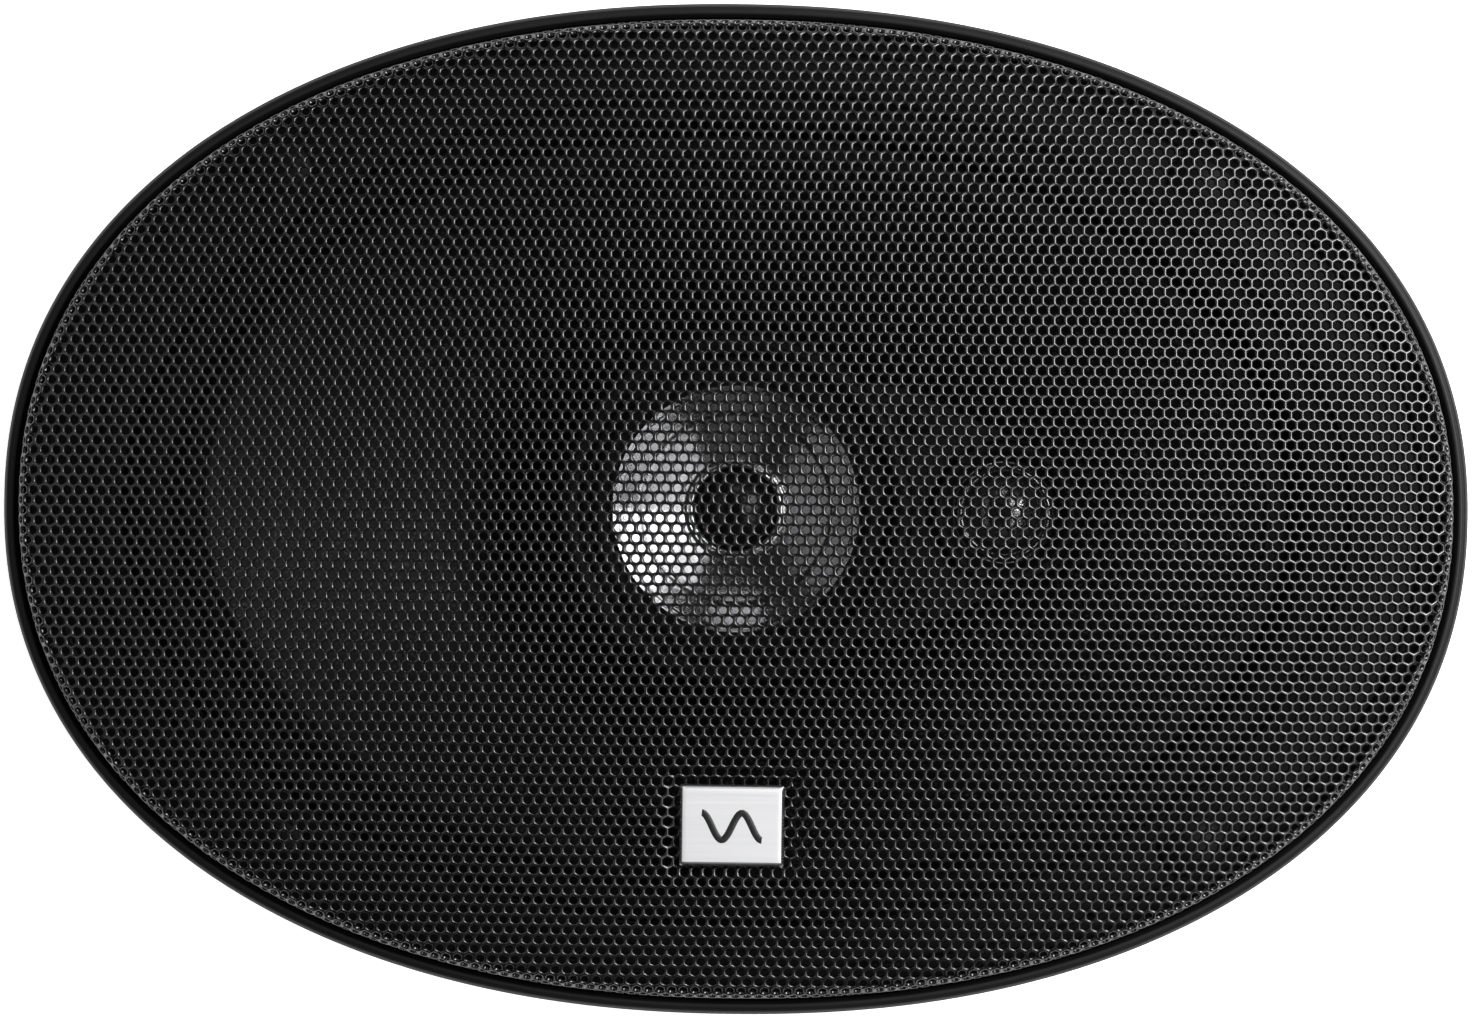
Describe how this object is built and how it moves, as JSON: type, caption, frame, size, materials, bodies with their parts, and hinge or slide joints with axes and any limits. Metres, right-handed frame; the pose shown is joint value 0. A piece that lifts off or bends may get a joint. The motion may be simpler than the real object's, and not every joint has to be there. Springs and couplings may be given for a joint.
{
  "type": "coaxial car speaker",
  "caption": "Oval coaxial car speaker with a perforated domed grille, a woofer, and a midrange and a tweeter on a central bridge.",
  "frame": {"origin": "centre of the four mounting holes, on the flange's rear face", "axes": "+Z out of the front of the speaker, +X along the long axis towards the tweeter, badge on the -Y side"},
  "size_m": [0.2376, 0.164, 0.096],
  "materials": {
    "grille_black": "satin black powder coat",
    "trim_black": "satin black moulded plastic",
    "badge_silver": "pale satin anodised, bevelled edge",
    "frame_black": "black electro-coated pressed steel",
    "foam_black": "black fibre gasket",
    "rubber_black": "matt black butyl rubber",
    "cone_black": "dark grey moulded polypropylene",
    "spider_cloth": "yellow-brown resin-stiffened cloth",
    "felt": "black felt",
    "steel_zinc": "zinc-plated, turned",
    "ferrite": "dark grey ground ferrite",
    "neodymium": "nickel-plated",
    "former_kapton": "amber film former",
    "copper": "enamelled copper wire",
    "tinsel": "braided copper tinsel",
    "wire_red": "insulated lead wire",
    "silver_film": "vacuum-metallised polymer, bright",
    "gloss_black": "gloss black dome",
    "chrome_trim": "bright chrome",
    "dome_film": "pale metallised polymer dome",
    "panel_fibre": "brown phenolic board",
    "tin_plate": "tin-plated brass tab",
    "capacitor_sleeve": "dark blue shrink sleeve"
  },
  "bodies": {
    "chassis": {"basket": "frame_black", "surround_gasket": "foam_black", "basket_rivets": "steel_zinc", "top_plate": "steel_zinc", "magnet": "ferrite", "back_plate": "steel_zinc", "dust_ring": "felt", "coax_post": "steel_zinc", "post_washer": "steel_zinc", "post_nut": "steel_zinc", "coax_leads": "wire_red", "coax_bridge": "trim_black", "tweeter_plate": "trim_black", "bridge_screws": "steel_zinc", "midrange_frame": "trim_black", "midrange_cup": "steel_zinc", "midrange_magnet": "neodymium", "midrange_pole_plate": "steel_zinc", "midrange_bezel": "trim_black", "tweeter_cup": "steel_zinc", "tweeter_magnet": "neodymium", "tweeter_pole_plate": "steel_zinc", "tweeter_bezel": "trim_black", "tweeter_capacitor": "capacitor_sleeve", "terminal_panel": "panel_fibre", "positive_terminal": "tin_plate", "negative_terminal": "tin_plate", "terminal_rivets": "tin_plate", "panel_rivet": "steel_zinc", "crossover_capacitor": "capacitor_sleeve", "capacitor_leads": "tin_plate"},
    "grille": {"grille_ring": "trim_black", "grille_mesh": "grille_black", "badge": "badge_silver", "badge_studs": "badge_silver", "badge_push_nuts": "steel_zinc"},
    "woofer": {"cone": "cone_black", "surround": "rubber_black", "spider": "spider_cloth", "voice_coil_former": "former_kapton", "voice_coil_winding": "copper", "lead_eyelets": "tinsel", "tinsel_leads": "tinsel"},
    "midrange": {"midrange_cone": "silver_film", "midrange_surround": "rubber_black", "midrange_coil": "copper", "midrange_dust_cap": "gloss_black", "midrange_trim_ring": "chrome_trim"},
    "tweeter": {"tweeter_dome": "dome_film", "tweeter_coil": "copper"}
  },
  "joints": [
    {"name": "grille_lift", "type": "slide", "parent": "chassis", "child": "grille", "axis": [0, 0, 1], "range_m": [0, 0.06]},
    {"name": "cone_travel", "type": "slide", "parent": "chassis", "child": "woofer", "axis": [0, 0, 1], "range_m": [-0.0045, 0.0045], "stiffness_N_per_m": 2500, "deforming": ["surround", "spider", "tinsel_leads"]},
    {"name": "midrange_travel", "type": "slide", "parent": "chassis", "child": "midrange", "axis": [0, 0, 1], "range_m": [-0.0008, 0.0008], "stiffness_N_per_m": 2500, "deforming": ["midrange_surround"]},
    {"name": "tweeter_travel", "type": "slide", "parent": "chassis", "child": "tweeter", "axis": [0, 0, 1], "range_m": [-0.00025, 0.00025], "stiffness_N_per_m": 2500}
  ]
}
